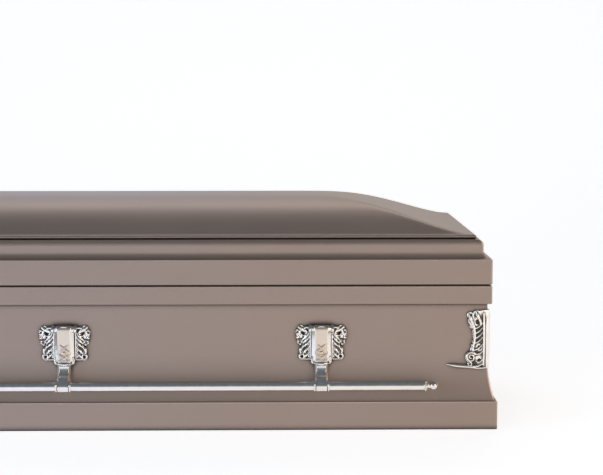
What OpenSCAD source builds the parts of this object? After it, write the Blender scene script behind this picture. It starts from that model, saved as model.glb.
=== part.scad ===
// Metal funeral casket: pressed sheet steel walls on a flat bottom pan, a crowned
// lift-off lid, and a swing bar handle along each side. Millimetres, Z up, origin
// at the middle of the underside. X runs along the casket, the front faces -Y.

/* [Overall] */
// Length over the flat bands at the rim
length = 2078; // [1700:1:2500]
// Width over the flat bands at the rim
width = 672; // [560:1:820]
// Height of the closed casket
height = 555; // [535:1:660]
// Thickness of the sheet steel
sheet = 1.2; // [0.8:0.1:1.8]

/* [Body] */
// Height of the body's rim, where the lid rests
rim_z = 352; // [335:1:425]
// Height of the flat band round the rim
rim_band = 45; // [30:1:52]
// How far the walls stand back from the rim band
wall_recess = 10; // [7:1:16]
// Height at which a wall starts to sweep out to the base
sweep_z = 185; // [150:1:220]
// Height of the flat base band
base_band = 70; // [40:1:85]
// How far the base band stands out past the rim band
base_out = 14; // [8:1:20]
// Width of the ledge on top of the base band
base_ledge = 6; // [4:1:8]
// Radius of the folded edges of the bands
edge_radius = 3; // [2.2:0.1:4]
// Width of the inward flanges at the rim and under the base
flange = 34; // [26:1:44]

/* [Lid] */
// Height of the dark gap between the lid's band and the body's
lid_gap = 3; // [2:0.5:5]
// How far the lid's seat stands back from its band
seat_recess = 7; // [5:0.5:10]
// Height of the lid's flat band
lid_band = 62; // [45:1:78]
// Width of the ledge on top of the lid's band
lid_ledge = 5; // [4:1:10]
// Radius of the cove above the ledge
cove_radius = 15; // [10:1:22]
// Radius of the shoulder above the cove
shoulder_radius = 14; // [8:1:20]
// Height from the top of the lid's band to the shelf that carries the crown
shelf_rise = 46; // [44:1:60]
// Radius of the bead round the foot of the crown
bead_radius = 5; // [3:0.5:6]
// Width of the groove between the shoulder and the bead
groove = 2; // [1:0.5:4]
// Width of the crown's inward flange
crown_flange = 16; // [10:1:20]
// Distance over which the crown rises at each end
end_run = 430; // [300:5:500]
// Width of the flat along the ridge of the crown
ridge_flat = 12; // [6:1:20]

/* [Handles] */
// Distance from one lug to the next along a side
lug_pitch = 623; // [450:1:700]
// Height of the hinge pins
pin_z = 248; // [235:1:285]
// Distance of the hinge pins from the wall
pin_out = 13; // [12:0.5:15]
// Radius of the hinge pins
pin_radius = 3; // [2.5:0.1:3.5]
// Radial clearance of an arm on its pin
pin_clearance = 0.06; // [0.03:0.01:0.1]
// Width of an arm
arm_width = 48; // [42:1:50]
// Thickness of an arm
arm_depth = 17; // [12:0.5:18]
// Height from the bar's axis up to the pins
arm_length = 135; // [125:1:145]
// Distance of the bar's axis from the wall
bar_out = 40; // [36:1:48]
// Outer radius of the bar
bar_radius = 11.5; // [9.5:0.5:13]
// Wall of the bar's tube
bar_wall = 1.5; // [1:0.1:2.5]
// Distance of a bar's ends from the ends of the rim band
bar_inset = 134; // [60:1:330]

/* [Ornaments] */
// Thickness of a lug's wings
wing_relief = 8; // [6:0.5:10]
// Thickness of the plate behind an arm
lug_plate = 3; // [2:0.5:3.5]
// Thickness of the corner ornaments
corner_relief = 7; // [5:0.5:9]
// Height of the foot of the corner ornaments
corner_z = 146; // [140:1:158]

/* [Hidden] */
$fn = 96;
PAST = 20;        // how far a cutting shape runs past what it cuts
CLEAR = 0.3;      // gap between faces that turn past each other
SLIDE = 0.05;     // radial gap of the bar in an arm's eye and a tip's spigot in the bar
ARC_STEPS = 5;
CROWN_STEPS = 18;
SIDE_RISE = [1.1, 3];   // start and end powers of the crown's curve over the sides
END_RISE = [1.5, 2.7];  // and over the ends

SIDES = ["front", "back"];
ENDS = ["left", "right"];
STATIONS = ["left", "middle", "right"];
WALLS = concat(SIDES, ENDS);

function names(kind, places) = [for (s = SIDES) for (p = places) str(s, "_", p, "_", kind)];

// ---- Profiles: [distance out from the rim band, height], from the bottom up ----

// Points of an arc about (x, z), from angle a to angle b
function arc(x, z, r, a, b, steps = ARC_STEPS) =
    [for (i = [0:steps]) let (t = a + (b - a) * i / steps) [x + r * cos(t), z + r * sin(t)]];

// Unit normal of the stretch from p to q, on its left
function left_of(p, q) = [p[1] - q[1], q[0] - p[0]] / norm(q - p);

// A line of points moved sideways by depth, to its left
function inner(points, depth) =
    let (last = len(points) - 1, n = [for (i = [0:last - 1]) left_of(points[i], points[i + 1])])
    [for (i = [0:last]) let (a = n[max(i - 1, 0)], b = n[min(i, last - 1)])
        points[i] + depth * (a + b) / (1 + a * b)];

function reversed(points) = [for (i = [len(points) - 1:-1:0]) points[i]];

wall_y = width / 2 - wall_recess;
wall_x = length / 2 - wall_recess;
sweep_out = base_out - base_ledge + wall_recess;
sweep_rise = sweep_z - base_band;
sweep_radius = (pow(sweep_rise, 2) + pow(sweep_out, 2)) / (2 * sweep_out);
sweep_angle = asin(sweep_rise / sweep_radius);

sweep_points = arc(sweep_radius - wall_recess, sweep_z, sweep_radius, 180 + sweep_angle, 180, 10);

wall_points = concat(
    [[base_out - flange, 0]],
    arc(base_out - edge_radius, edge_radius, edge_radius, -90, 0),
    arc(base_out - edge_radius, base_band - edge_radius, edge_radius, 0, 90),
    sweep_points,
    [[-wall_recess, rim_z - rim_band]],
    arc(-edge_radius, rim_z - rim_band + edge_radius, edge_radius, -90, 0),
    arc(-edge_radius, rim_z - edge_radius, edge_radius, 0, 90),
    [[-flange, rim_z]]
);

band_low = rim_z + lid_gap;
band_high = band_low + lid_band;
shelf_z = band_high + shelf_rise;
shoulder_in = lid_ledge + cove_radius + shoulder_radius;
crown_in = shoulder_in + groove + bead_radius;

rim_points = concat(
    [[-flange, rim_z], [-seat_recess, rim_z], [-seat_recess, band_low]],
    arc(-edge_radius, band_low + edge_radius, edge_radius, -90, 0),
    arc(-edge_radius, band_high - edge_radius, edge_radius, 0, 90),
    arc(-lid_ledge, band_high + cove_radius, cove_radius, 270, 180),
    arc(-shoulder_in, shelf_z - shoulder_radius, shoulder_radius, 0, 90),
    [[-crown_in - crown_flange, shelf_z]]
);

crown_foot_z = shelf_z + 2 * bead_radius;

// The bead and the crown above it, rising over run with the given powers
function crown_points(run, rise) = concat(
    arc(-crown_in, shelf_z + bead_radius, bead_radius, -90, 90, 8),
    [for (i = [1:CROWN_STEPS]) let (t = pow(i / CROWN_STEPS, 1.3))
        [-crown_in - run * t, crown_foot_z
            + (height - crown_foot_z) * (1 - pow(1 - pow(t, rise[0]), rise[1]))]]
);

side_crown = crown_points(width / 2 - crown_in - ridge_flat / 2, SIDE_RISE);
end_crown = crown_points(end_run, END_RISE);

// ---- Sheet metal ----

function along_y(place) = place == "left" || place == "right";
function turn(place) = place == "front" ? -90 : place == "back" ? 90 : place == "left" ? 180 : 0;

// One wall's length of folded sheet, mitred at both ends
module mitred_run(place, points) {
    half = (along_y(place) ? length : width) / 2;
    reach = (along_y(place) ? width : length) / 2;
    deep = flange + crown_in + crown_flange;
    rotate([0, 0, turn(place)])
        intersection() {
            rotate([90, 0, 0])
                linear_extrude(2 * (reach + base_out + PAST), center = true)
                    translate([half, 0])
                        polygon(concat(points, reversed(inner(points, sheet))));
            translate([half, 0, -PAST])
                linear_extrude(height + 2 * PAST)
                    polygon([[-deep, deep - reach], [PAST, -PAST - reach],
                             [PAST, PAST + reach], [-deep, reach - deep]]);
        }
}

// The outline that a profile makes about a middle line, half wide
function outline(points, half) = concat(
    [for (p = points) [half + p[0], p[1]]],
    [for (p = reversed(points)) [-half - p[0], p[1]]]
);

// The solid under one profile along the sides and one along the ends
module hipped(side_points, end_points) {
    intersection() {
        rotate([90, 0, 90])
            linear_extrude(length + 4 * PAST, center = true) polygon(outline(side_points, width / 2));
        rotate([90, 0, 0])
            linear_extrude(width + 4 * PAST, center = true) polygon(outline(end_points, length / 2));
    }
}

// A block whose sides stand inset from the rim bands, between two heights
module inset_block(inset, low, high) {
    translate([inset - length / 2, inset - width / 2, low])
        cube([length - 2 * inset, width - 2 * inset, high - low]);
}

module wall(place) {
    color("#9a8c80") mitred_run(place, wall_points);
}

module bottom_pan() {
    color("#7d756e") inset_block(edge_radius - base_out + CLEAR, sheet, 2 * sheet);
}

module lid_rim(place) {
    color("#9a8c80") mitred_run(place, rim_points);
}

module lid_crown() {
    color("#8d8681")
        difference() {
            hipped(side_crown, end_crown);
            hipped(inner(side_crown, sheet), inner(end_crown, sheet));
            inset_block(crown_in + crown_flange, shelf_z - PAST, shelf_z + 2 * sheet);
        }
}

// The outside of the walls from the base ledge up, which ornaments are cut to
module wall_face() {
    points = concat(sweep_points, [[-wall_recess, rim_z - rim_band]]);
    hipped(points, points);
}

// ---- Swing bar handles ----

arm_half = arm_width / 2;
arm_back = lug_plate + CLEAR;            // distance from the wall to an arm's back
barrel_radius = pin_out - arm_back;      // the barrel clears the plate behind it
ear_gap = 0.5;
ear_width = 6;
lug_z = pin_z - 79;                      // foot of a lug
shield_z = pin_z - 81;                   // foot of an arm's shield
bar_z = pin_z - arm_length;
neck_half = 16;
eye_half = 19;
eye_radius = bar_radius + 4;

// Puts children, drawn with X along the wall, Y up and Z out, on a side wall
module on_side(side, x = 0) {
    rotate([0, 0, side == "front" ? 0 : 180])
        translate([side == "front" ? x : -x, -wall_y, 0])
            rotate([90, 0, 0])
                children();
}

// A cylinder along the wall at a height and distance out, centred on x = 0
module along(radius, half, up, out) {
    translate([-half, up, out]) rotate([0, 90, 0]) cylinder(r = radius, h = 2 * half);
}

// Outline of the wing right of an arm, with y = 0 at the lug's foot
module wing_outline() {
    difference() {
        union() {
            polygon([[arm_half - 4, 1], [46, 1], [45, 16], [40, 28], [46, 42], [44, 84], [arm_half - 4, 86]]);
            translate([41, 66]) circle(r = 19);
            translate([50, 81]) circle(r = 7);
            translate([56, 70]) circle(r = 6.5);
            translate([57, 58]) circle(r = 5.5);
            translate([53, 47]) circle(r = 6.5);
            translate([47, 27]) circle(r = 7);
            translate([47, 10]) circle(r = 9);
        }
        translate([45, 68]) circle(r = 6);
        translate([36, 50]) circle(r = 4);
        translate([34, 22]) circle(r = 4);
        translate([47, 10]) circle(r = 3.2);
    }
}

module lug(side, x) {
    color("#cfcac2")
        difference() {
            on_side(side, x)
                difference() {
                    union() {
                        translate([-arm_half, lug_z + 3, 0]) cube([arm_width, 83, lug_plate]);
                        for (flip = [0, 1])
                            mirror([flip, 0, 0]) {
                                difference() {
                                    translate([0, lug_z, 0]) linear_extrude(wing_relief) wing_outline();
                                    translate([0, lug_z - PAST, lug_plate])
                                        cube([arm_half + ear_gap, 200, wing_relief]);
                                }
                                translate([arm_half + ear_gap, pin_z - barrel_radius, 0])
                                    cube([ear_width, 2 * barrel_radius, pin_out]);
                                translate([arm_half + ear_gap, pin_z, pin_out])
                                    rotate([0, 90, 0]) cylinder(r = barrel_radius, h = ear_width);
                            }
                    }
                    along(pin_radius, arm_half + 2 * ear_width, pin_z, pin_out);
                }
            wall_face();
        }
}

module pin(side, x) {
    color("#b9b4ac")
        on_side(side, x) along(pin_radius, arm_half + ear_gap + ear_width, pin_z, pin_out);
}

// Cross-section of an arm's shield: a flat front between two bevels
module shield_section() {
    bevel = 9;
    edge = 6;
    polygon([[-arm_half, 0], [arm_half, 0], [arm_half, edge], [arm_half - bevel, arm_depth],
             [bevel - arm_half, arm_depth], [-arm_half, edge]]);
}

// Side view of the neck from the shield down to the bar: [height, distance out]
module neck_outline() {
    front = arm_back + arm_depth;
    polygon([[shield_z + 24, arm_back + 2], [shield_z + 24, front - 1], [shield_z + 6, front + 3],
             [bar_z + 24, bar_out + 2], [bar_z + 6, bar_out + eye_radius - 4], [bar_z, bar_out],
             [bar_z + 4, bar_out - eye_radius + 4], [bar_z + 18, bar_out - 14], [shield_z - 2, arm_back + 2]]);
}

module arm(side, x) {
    diamond = 17;
    color("#d6d2ca")
        on_side(side, x)
            difference() {
                union() {
                    translate([0, pin_z, arm_back])
                        rotate([90, 0, 0])
                            linear_extrude(pin_z - shield_z) shield_section();
                    along(barrel_radius, arm_half, pin_z, pin_out);
                    translate([0, shield_z + 21, arm_back + arm_depth - 1]) {
                        rotate([0, 0, 45]) translate([-diamond / 2, -diamond / 2, 0]) cube([diamond, diamond, 2.5]);
                        cylinder(r = 4, h = 4.5);
                    }
                    translate([-neck_half, 0, 0])
                        rotate([90, 0, 90]) linear_extrude(2 * neck_half) neck_outline();
                    along(eye_radius, eye_half, bar_z, bar_out);
                }
                along(bar_radius + SLIDE, eye_half + 1, bar_z, bar_out);
                along(pin_radius + pin_clearance, arm_half + 1, pin_z, pin_out);
            }
}

tip_length = 34;
tube_half = length / 2 - bar_inset - tip_length;

module bar(side) {
    color("#c9c6c0")
        on_side(side)
            difference() {
                along(bar_radius, tube_half, bar_z, bar_out);
                along(bar_radius - bar_wall, tube_half + 1, bar_z, bar_out);
            }
}

// A turned tip with a collar and a spigot that goes into the end of the tube
module bar_tip(side, end) {
    spigot = bar_radius - bar_wall - SLIDE;
    knob = 11;
    color("#d6d2ca")
        rotate([0, 0, side == "front" ? 0 : 180])
            translate([(side == "front" ? 1 : -1) * end * tube_half, -wall_y - bar_out, bar_z])
                rotate([0, (side == "front" ? 1 : -1) * end * 90, 0])
                    rotate_extrude()
                        polygon(concat(
                            [[0, -24], [spigot, -24], [spigot, 0], [bar_radius + 2, 0], [bar_radius + 2, 6]],
                            arc(0, tip_length - knob, knob, -50, 90, 12)
                        ));
}

// ---- Corner ornaments ----

corner_height = 148;

// Outline on one face, with x = 0 at the casket's corner and y = 0 at its foot
module corner_outline() {
    difference() {
        union() {
            polygon([[0, 2], [30, 0], [46, 4], [45, 38], [39, 58], [35, 70], [37, 98], [41, 110],
                     [38, 128], [24, corner_height - 4], [0, corner_height]]);
            translate([40, 30]) circle(r = 14.5);
            translate([43, 13]) circle(r = 6);
            translate([38, 106]) circle(r = 6);
            translate([41, 120]) circle(r = 8);
            translate([43, 134]) circle(r = 8);
            translate([27, 137]) circle(r = 9);
            polygon([[30, 0], [64, 4], [93, 8], [101, 11], [99, 14], [64, 12], [36, 10]]);
        }
        translate([40, 30]) circle(r = 5);
        translate([24, 117]) circle(r = 6);
        translate([19, 54]) circle(r = 5);
        translate([19, 20]) circle(r = 6);
    }
}

module corner(side, end) {
    color("#cfcac2")
        difference() {
            mirror([end < 0 ? 1 : 0, 0, 0])
                mirror([0, side == "front" ? 0 : 1, 0])
                    translate([wall_x, -wall_y, corner_z]) {
                        rotate([90, 0, 0])
                            linear_extrude(corner_relief) mirror([1, 0]) corner_outline();
                        rotate([90, 0, 90])
                            linear_extrude(corner_relief) corner_outline();
                        translate([0, -corner_relief, 2])
                            cube([corner_relief, corner_relief, corner_height - 2]);
                    }
            wall_face();
        }
}

// ---- Every node ----

bottom_pan();
lid_crown();

for (place = WALLS) {
    wall(place);
    lid_rim(place);
}

for (side = SIDES) {
    bar(side);
    for (i = [0:2]) {
        x = (i - 1) * lug_pitch;
        place = str(side, "_", STATIONS[i], "_");
        lug(side, x);
        pin(side, x);
        arm(side, x);
    }
    for (i = [0, 1]) {
        end = 2 * i - 1;
        place = str(side, "_", ENDS[i], "_");
        bar_tip(side, end);
        corner(side, end);
    }
}
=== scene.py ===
"""Looks of a sheet steel funeral casket, built round its packed frame.

X runs along the casket, the front faces -Y and Z is up. Sizes here are in millimetres, and every
finished mesh is in metres in the frame's own place.
"""
import math

import bmesh
import bpy
import numpy as np
from mathutils import Matrix, Vector
from bpy.props import FloatProperty, FloatVectorProperty, IntProperty, PointerProperty


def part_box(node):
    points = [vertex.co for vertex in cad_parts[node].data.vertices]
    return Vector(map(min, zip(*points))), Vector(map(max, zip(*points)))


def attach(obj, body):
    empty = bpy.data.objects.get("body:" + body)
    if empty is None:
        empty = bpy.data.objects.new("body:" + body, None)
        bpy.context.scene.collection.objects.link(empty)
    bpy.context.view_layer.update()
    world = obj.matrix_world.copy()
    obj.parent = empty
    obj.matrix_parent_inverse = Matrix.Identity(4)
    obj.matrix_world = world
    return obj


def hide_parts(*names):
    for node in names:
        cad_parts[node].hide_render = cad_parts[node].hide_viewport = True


bl_info = {
    "name": "Funeral casket",
    "version": (1, 0, 0),
    "blender": (4, 5, 0),
    "location": "View3D > Sidebar > Casket",
    "description": "Makes the sheet metal, cast hardware and studio of a funeral casket",
    "category": "Object",
}

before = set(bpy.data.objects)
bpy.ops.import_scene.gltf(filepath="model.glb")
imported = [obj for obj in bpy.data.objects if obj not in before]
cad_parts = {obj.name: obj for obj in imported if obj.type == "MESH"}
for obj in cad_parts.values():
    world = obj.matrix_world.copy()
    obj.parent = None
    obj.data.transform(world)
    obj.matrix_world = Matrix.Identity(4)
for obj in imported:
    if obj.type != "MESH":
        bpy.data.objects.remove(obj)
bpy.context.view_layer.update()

MM = 0.001
SIDES = ("front", "back")
ENDS = ("left", "right")
STATIONS = ("left", "middle", "right")


def low(node, axis):
    """The lowest coordinate of a CAD node along an axis, in millimetres."""
    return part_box(node)[0][axis] / MM


def high(node, axis):
    """The highest coordinate of a CAD node along an axis, in millimetres."""
    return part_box(node)[1][axis] / MM


def middle(node, axis):
    """The middle of a CAD node along an axis, in millimetres."""
    return (low(node, axis) + high(node, axis)) / 2


HALF_LENGTH = high("right_lid_rim", 0)
HALF_WIDTH = high("back_lid_rim", 1)
WALL_Y = low("back_middle_lug", 1)
WALL_X = HALF_LENGTH - (HALF_WIDTH - WALL_Y)
RIM_Z = high("front_wall", 2)
SHELF_Z = low("lid_crown", 2)
TOP_Z = high("lid_crown", 2)
CROWN_X = high("lid_crown", 0)
CROWN_Y = high("lid_crown", 1)
LUG_Z = low("front_middle_lug", 2)
PIN_Z = middle("front_middle_pin", 2)
PIN_OUT = -middle("front_middle_pin", 1) - WALL_Y
BAR_Z = middle("front_bar", 2)
BAR_OUT = -middle("front_bar", 1) - WALL_Y
CORNER_Z = low("front_right_corner", 2)


# ---- Sizes and colours that can be changed ----

def size(name, description, default, **more):
    """A length in millimetres, as a property."""
    return FloatProperty(name=name, description=description, default=default, min=0.0, **more)


def colour(name, description, default):
    """A colour, as a property."""
    return FloatVectorProperty(name=name, description=description, default=default,
                               subtype="COLOR", size=3, min=0.0, max=1.0)


class CasketSheet(bpy.types.PropertyGroup):
    """Sizes of the folded sheet metal."""
    thickness: size("Sheet", "Thickness of the sheet steel in millimetres", 1.2)
    rim_band: size("Rim band", "Height of the body's rim band", 45.0)
    base_band: size("Base band", "Height of the base band", 70.0)
    base_out: size("Base out", "How far the base band stands out past the rim band", 14.0)
    base_ledge: size("Base ledge", "Width of the ledge on the base band", 6.0)
    sweep_z: size("Sweep height", "Height at which a wall starts to sweep out", 185.0)
    edge: size("Folded edge", "Radius of the folded edges", 3.0)
    flange: size("Flange", "Width of the inward flanges", 34.0)
    lid_gap: size("Lid gap", "Height of the gap between lid and body bands", 3.0)
    seat: size("Seat recess", "How far the lid's seat stands back", 7.0)
    lid_band: size("Lid band", "Height of the lid's flat band", 62.0)
    lid_ledge: size("Lid ledge", "Width of the ledge on the lid's band", 5.0)
    cove: size("Cove", "Radius of the cove", 15.0)
    shoulder: size("Shoulder", "Radius of the shoulder above the cove", 14.0)
    corner: size("Corner", "Radius of the upright corners", 3.5)


class CasketCrown(bpy.types.PropertyGroup):
    """Shape of the crown of the lid."""
    bead: size("Bead", "Radius of the bead round the crown's foot", 5.0)
    flange: size("Flange", "Width of the crown's inward flange", 16.0)
    end_run: size("End run", "Distance over which the crown rises at each end", 430.0)
    side_start: FloatProperty(name="Side start", description="Power that eases the side's foot", default=1.1)
    side_end: FloatProperty(name="Side end", description="Power that rounds the side's top", default=3.0)
    end_start: FloatProperty(name="End start", description="Power that eases the end's foot", default=1.5)
    end_end: FloatProperty(name="End end", description="Power that rounds the end's top", default=2.7)
    hip: FloatProperty(name="Hip", description="Softness of the hip lines, as a share of the rise",
                       default=0.07, min=0.001)


class CasketHardware(bpy.types.PropertyGroup):
    """Sizes of the cast and turned hardware."""
    plate: size("Wing plate", "Thickness of the ornaments behind their relief", 4.0)
    grain: size("Casting detail", "Edge length of the cast surfaces", 0.62)
    keep: FloatProperty(name="Kept faces", description="Share of the cast faces kept after thinning",
                        default=0.5, min=0.05, max=1.0)
    bead: size("Bead", "Radius of the beads on a lug's edge", 3.3)
    beads: IntProperty(name="Beads", description="Beads along a lug's outer edge", default=5, min=2)
    arm_half: size("Arm half width", "Half the width of an arm's shield", 24.0)
    barrel: size("Barrel", "Radius of an arm's hinge barrel", 9.7)
    pin: size("Pin bore", "Radius of the bore on the hinge pin", 3.06)
    bar: size("Bar", "Outer radius of the swing bar", 11.5)
    bar_wall: size("Bar wall", "Wall of the swing bar's tube", 1.5)
    eye_half: size("Eye half length", "Half the length of an arm's eye", 19.0)


class CasketFinish(bpy.types.PropertyGroup):
    """Colours of the finishes."""
    paint: colour("Paint", "Satin metallic enamel", (0.39, 0.305, 0.26))
    paint_deep: colour("Paint shade", "Darker flake in the enamel", (0.325, 0.254, 0.217))
    silver: colour("Silver", "Polished plate", (0.90, 0.87, 0.82))
    tarnish: colour("Tarnish", "Dark antique finish in the recesses", (0.10, 0.078, 0.06))
    satin: colour("Satin", "Champagne satin on the front of the arms", (0.74, 0.64, 0.53))
    steel: colour("Steel", "Plain steel", (0.55, 0.54, 0.53))
    floor: colour("Floor", "Floor and backdrop", (0.86, 0.86, 0.86))
    lift: FloatProperty(name="Lift", description="Extra brightness of the floor as it is seen", default=0.66)


class CasketStudio(bpy.types.PropertyGroup):
    """Camera and lamps."""
    eye: FloatVectorProperty(name="Eye", description="Place of the camera", default=(0.514, -3.936, 0.861),
                             subtype="TRANSLATION", unit="LENGTH")
    aim: FloatVectorProperty(name="Aim", description="Point the camera looks at",
                             default=(0.575, -0.336, 0.471), subtype="TRANSLATION", unit="LENGTH")
    lens: FloatProperty(name="Lens", description="Focal length on a 36 mm sensor", default=89.6)
    key_power: FloatProperty(name="Key", description="Power of the wide front lamp", default=72.0)
    warm_power: FloatProperty(name="Warm", description="Power of the warm lamp at the right", default=42.0)
    cool_power: FloatProperty(name="Cool", description="Power of the cool lamp at the left", default=42.0)
    top_power: FloatProperty(name="Top", description="Power of the soft lamp behind and above", default=18.0)
    sky: FloatProperty(name="Sky", description="Strength of the light from all round", default=0.55)


# ---- Outlines: points (out from the rim bands, height), from the bottom up ----

def arc(x, z, radius, start, end, steps=8):
    """Points of an arc about (x, z), with angles in degrees."""
    turns = [math.radians(start + (end - start) * i / steps) for i in range(steps + 1)]
    return [(x + radius * math.cos(t), z + radius * math.sin(t)) for t in turns]


def parallel(points, depth):
    """The same line moved by depth to its left."""
    p = np.array(points, float)
    step = np.diff(p, axis=0)
    left = np.stack([-step[:, 1], step[:, 0]], 1) / np.linalg.norm(step, axis=1)[:, None]
    before = np.vstack([left[:1], left])
    after = np.vstack([left, left[-1:]])
    return p + depth * (before + after) / (1 + (before * after).sum(1))[:, None]


def guarded(points, guard=0.5):
    """The same line with extra points near the ends of its long stretches, which keep them flat."""
    result = [tuple(points[0])]
    for a, b in zip(points, points[1:]):
        a, b = np.array(a), np.array(b)
        length = np.linalg.norm(b - a)
        if length > 5 * guard:
            result.append(tuple(a + (b - a) * guard / length))
            result.append(tuple(b - (b - a) * guard / length))
        result.append(tuple(b))
    return result


def wall_line(s):
    """The outer face of a wall, from its base flange to its rim flange."""
    recess = HALF_WIDTH - WALL_Y
    sweep_out = s.base_out - s.base_ledge + recess
    sweep_rise = s.sweep_z - s.base_band
    radius = (sweep_rise ** 2 + sweep_out ** 2) / (2 * sweep_out)
    angle = math.degrees(math.asin(sweep_rise / radius))
    band_z = RIM_Z - s.rim_band
    return (
        [(s.base_out - s.flange, 0.0)]
        + arc(s.base_out - s.edge, s.edge, s.edge, -90, 0)
        + arc(s.base_out - s.edge, s.base_band - s.edge, s.edge, 0, 90)
        + arc(radius - recess, s.sweep_z, radius, 180 + angle, 180, 20)
        + [(-recess, band_z)]
        + arc(-s.edge, band_z + s.edge, s.edge, -90, 0)
        + arc(-s.edge, RIM_Z - s.edge, s.edge, 0, 90)
        + [(-s.flange, RIM_Z)]
    )


def rim_line(s, crown):
    """The outer face of the lid's rim, from its seat to the shelf under the crown."""
    band_low = RIM_Z + s.lid_gap
    band_high = band_low + s.lid_band
    shoulder_in = s.lid_ledge + s.cove + s.shoulder
    shelf_in = HALF_WIDTH - CROWN_Y + crown.bead + crown.flange
    return (
        [(-s.flange, RIM_Z), (-s.seat, RIM_Z), (-s.seat, band_low)]
        + arc(-s.edge, band_low + s.edge, s.edge, -90, 0)
        + arc(-s.edge, band_high - s.edge, s.edge, 0, 90)
        + arc(-s.lid_ledge, band_high + s.cove, s.cove, 270, 180, 12)
        + arc(-shoulder_in, SHELF_Z - s.shoulder, s.shoulder, 0, 90, 12)
        + [(-shelf_in, SHELF_Z)]
    )


def ring_path(half_x, half_y, radius, guard=1.0, steps=5):
    """Points round a rectangle with rounded corners, anticlockwise from above."""
    points = []
    for quarter, (sx, sy) in enumerate(((1, 1), (-1, 1), (-1, -1), (1, -1))):
        centre = np.array([sx * (half_x - radius), sy * (half_y - radius)])
        turns = [math.pi / 2 * (quarter + k / steps) for k in range(steps + 1)]
        rays = [np.array([math.cos(t), math.sin(t)]) for t in turns]
        along_in = np.array([rays[0][1], -rays[0][0]])
        along_out = np.array([-rays[-1][1], rays[-1][0]])
        points.append(centre + radius * rays[0] + guard * along_in)
        points += [centre + radius * ray for ray in rays]
        points.append(centre + radius * rays[-1] + guard * along_out)
    return points


# ---- Meshes ----

def linked(name, data):
    """A new object in the scene."""
    item = bpy.data.objects.new(name, data)
    bpy.context.scene.collection.objects.link(item)
    return item


def new_piece(name, mesh, material, sharp=40.0):
    """A smooth-shaded object in the scene, sharp at edges past an angle in degrees."""
    piece = linked(name, mesh)
    mesh.materials.clear()
    mesh.materials.append(material)
    mesh.polygons.foreach_set("use_smooth", [True] * len(mesh.polygons))
    mesh.set_sharp_from_angle(angle=math.radians(sharp))
    return piece


def finished(name, shape, outward=False):
    """The mesh of a shape that is done with, with its faces turned outwards if asked."""
    if outward:
        bmesh.ops.recalc_face_normals(shape, faces=shape.faces)
    mesh = bpy.data.meshes.new(name)
    shape.to_mesh(mesh)
    shape.free()
    return mesh


def bridge(shape, a, b):
    """Faces between two closed rings with the same number of points."""
    for k in range(len(a)):
        n = (k + 1) % len(a)
        shape.faces.new((a[k], a[n], b[n], b[k]))


def taken(piece):
    """The evaluated mesh of a piece, with its modifiers applied. The piece itself is removed."""
    depsgraph = bpy.context.evaluated_depsgraph_get()
    mesh = bpy.data.meshes.new_from_object(piece.evaluated_get(depsgraph), depsgraph=depsgraph)
    bpy.data.objects.remove(piece)
    return mesh


def folded_ring(name, line, sheet, corner):
    """Sheet folded along a line and carried round all four sides."""
    outer = guarded(line)
    section = outer + [tuple(p) for p in parallel(outer, sheet)][::-1]
    vertices = []
    for out, z in section:
        path = ring_path(HALF_LENGTH + out, HALF_WIDTH + out, corner)
        vertices += [(x, y, z) for x, y in path]
    count = len(vertices) // len(section)
    faces = []
    for i in range(len(section)):
        upper = (i + 1) % len(section)
        for j in range(count):
            k = (j + 1) % count
            faces.append((i * count + j, i * count + k, upper * count + k, upper * count + j))
    mesh = bpy.data.meshes.new(name)
    mesh.from_pydata([tuple(np.array(v) * MM) for v in vertices], [], faces)
    shape = bmesh.new()
    shape.from_mesh(mesh)
    return finished(name, shape, True)


def joined(name, meshes):
    """One mesh of several."""
    shape = bmesh.new()
    for mesh in meshes:
        shape.from_mesh(mesh)
    return finished(name, shape)


def lathe(name, profile, sides=64):
    """A turned solid about Z from (radius, height) points, closed where the radius is 0."""
    shape = bmesh.new()
    rings = []
    for radius, height in profile:
        if radius < 1e-6:
            rings.append([shape.verts.new((0, 0, height))])
            continue
        turns = [2 * math.pi * k / sides for k in range(sides)]
        rings.append([shape.verts.new((radius * math.cos(t), radius * math.sin(t), height)) for t in turns])
    closed = len(rings[0]) > 1
    pairs = list(zip(rings, rings[1:])) + ([(rings[-1], rings[0])] if closed else [])
    for a, b in pairs:
        for k in range(sides):
            n = (k + 1) % sides
            corners = [a[k % len(a)], a[n % len(a)], b[n % len(b)], b[k % len(b)]]
            unique = list(dict.fromkeys(corners))
            if len(unique) > 2:
                shape.faces.new(unique)
    return finished(name, shape, True)


# ---- Cast relief: strokes, scrolls and beads, in millimetres (u along, v up, o out) ----

def smooth_points(points, per_span=7):
    """A Catmull-Rom curve through points that may carry a radius or other sizes."""
    p = np.array(points, float)
    p = np.vstack([2 * p[0] - p[1], p, 2 * p[-1] - p[-2]])
    result = []
    for i in range(1, len(p) - 2):
        for k in range(per_span):
            t = k / per_span
            a, b, c, d = p[i - 1:i + 3]
            result.append(0.5 * (2 * b + (c - a) * t + (2 * a - 5 * b + 4 * c - d) * t * t
                                 + (3 * b - a - 3 * c + d) * t ** 3))
    result.append(p[-2])
    return np.array(result)


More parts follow.
